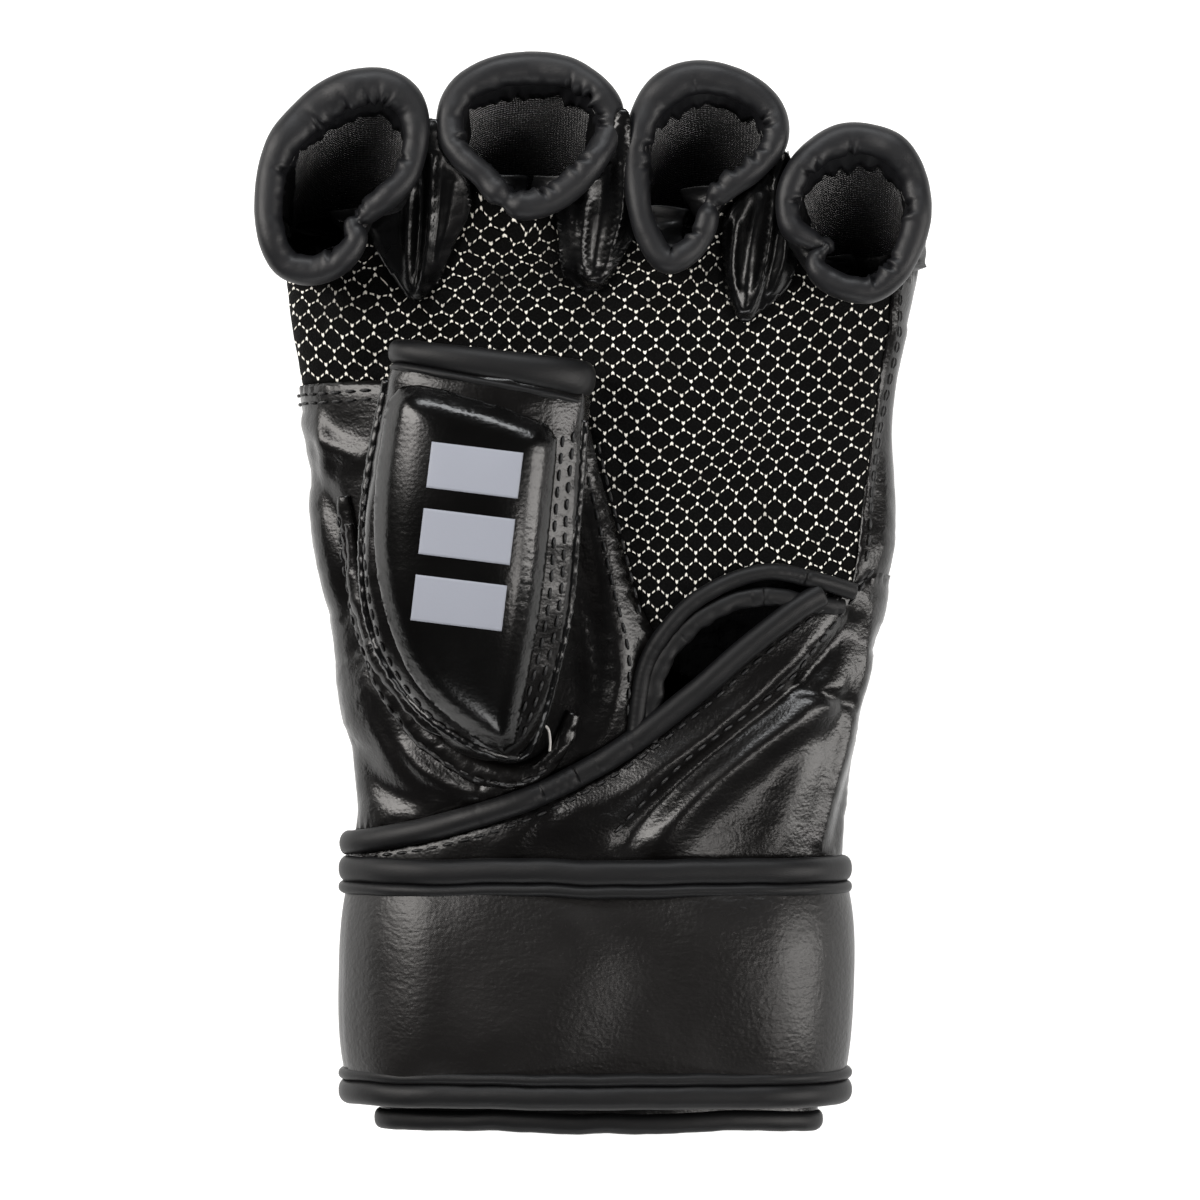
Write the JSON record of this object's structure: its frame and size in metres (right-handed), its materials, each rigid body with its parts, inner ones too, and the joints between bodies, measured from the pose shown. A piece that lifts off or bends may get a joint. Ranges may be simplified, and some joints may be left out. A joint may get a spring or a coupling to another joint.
{
  "type": "open-finger sparring glove",
  "caption": "Left-hand open-finger sparring glove with a mesh palm, padded back and thumb sheath, rolled finger-loop rims and a wide wrist strap.",
  "frame": {"origin": "on the resting face, under the middle of the glove's length and width", "axes": "+X towards the little finger, +Y towards the finger ends, +Z out of the palm"},
  "size_m": [0.1495, 0.2394, 0.0718],
  "materials": {
    "leather": "fine grain, soft gloss",
    "binding": "satin rolled edge",
    "mesh": "black cloth with a cream dotted grid",
    "backing": "plain black cloth",
    "knit": "ribbed knit",
    "foam": "closed-cell foam",
    "webbing": "woven stiffener",
    "hook": "hook tape",
    "loop": "loop tape",
    "print": "printed light grey"
  },
  "bodies": {
    "hand": {"back_cover": "leather", "back_foam": "foam", "back_lining": "knit", "palm_mesh": "mesh", "palm_backing": "backing", "index_side_panel": "leather", "thumb_gusset": "leather", "little_side_panel": "leather", "heel_flap": "leather", "slit_binding": "binding", "heel_flap_binding": "binding", "cuff": "leather", "cuff_lining": "knit", "cuff_binding": "binding", "strap_cover": "leather", "strap_core": "webbing", "strap_top_binding": "binding", "strap_low_binding": "binding", "loop_patch": "loop"},
    "index_finger": {"index_cover": "leather", "index_foam": "foam", "index_lining": "knit", "index_loop": "leather", "index_binding": "binding"},
    "middle_finger": {"middle_cover": "leather", "middle_foam": "foam", "middle_lining": "knit", "middle_loop": "leather", "middle_binding": "binding"},
    "ring_finger": {"ring_cover": "leather", "ring_foam": "foam", "ring_lining": "knit", "ring_loop": "leather", "ring_binding": "binding"},
    "little_finger": {"little_cover": "leather", "little_foam": "foam", "little_lining": "knit", "little_loop": "leather", "little_binding": "binding"},
    "thumb_root": {"thumb_base_fold": "leather"},
    "thumb": {"thumb_cover": "leather", "thumb_palm_panel": "leather", "thumb_foam": "foam", "thumb_lining": "knit", "thumb_pad_cover": "leather", "thumb_print": "print", "thumb_binding": "binding"},
    "strap_tail": {"tail_cover": "leather", "tail_core": "webbing", "tail_top_binding": "binding", "tail_low_binding": "binding", "tail_end_binding": "binding", "hook_patch": "hook"}
  },
  "joints": [
    {"name": "index_curl", "type": "hinge", "parent": "hand", "child": "index_finger", "pos_m": [-0.056, 0.091, 0.015], "axis": [1, 0, 0], "range_deg": [-25, 8]},
    {"name": "middle_curl", "type": "hinge", "parent": "hand", "child": "middle_finger", "pos_m": [-0.0155, 0.095, 0.0115], "axis": [1, 0, 0], "range_deg": [-25, 8]},
    {"name": "ring_curl", "type": "hinge", "parent": "hand", "child": "ring_finger", "pos_m": [0.0235, 0.093, 0.012], "axis": [1, 0, 0], "range_deg": [-25, 8]},
    {"name": "little_curl", "type": "hinge", "parent": "hand", "child": "little_finger", "pos_m": [0.059, 0.0805, 0.0165], "axis": [1, 0, 0], "range_deg": [-25, 8]},
    {"name": "thumb_swing", "type": "hinge", "parent": "hand", "child": "thumb_root", "pos_m": [-0.032, -0.033, 0.042], "axis": [0, 0, 1], "range_deg": [0, 30]},
    {"name": "thumb_lift", "type": "hinge", "parent": "thumb_root", "child": "thumb", "pos_m": [-0.031, -0.034, 0.0458], "axis": [0.9925, -0.1219, 0], "range_deg": [0, 45]},
    {"name": "strap_peel", "type": "hinge", "parent": "hand", "child": "strap_tail", "pos_m": [-0.05114, -0.087, 0.00696], "axis": [0, 1, 0], "range_deg": [0, 176]}
  ]
}
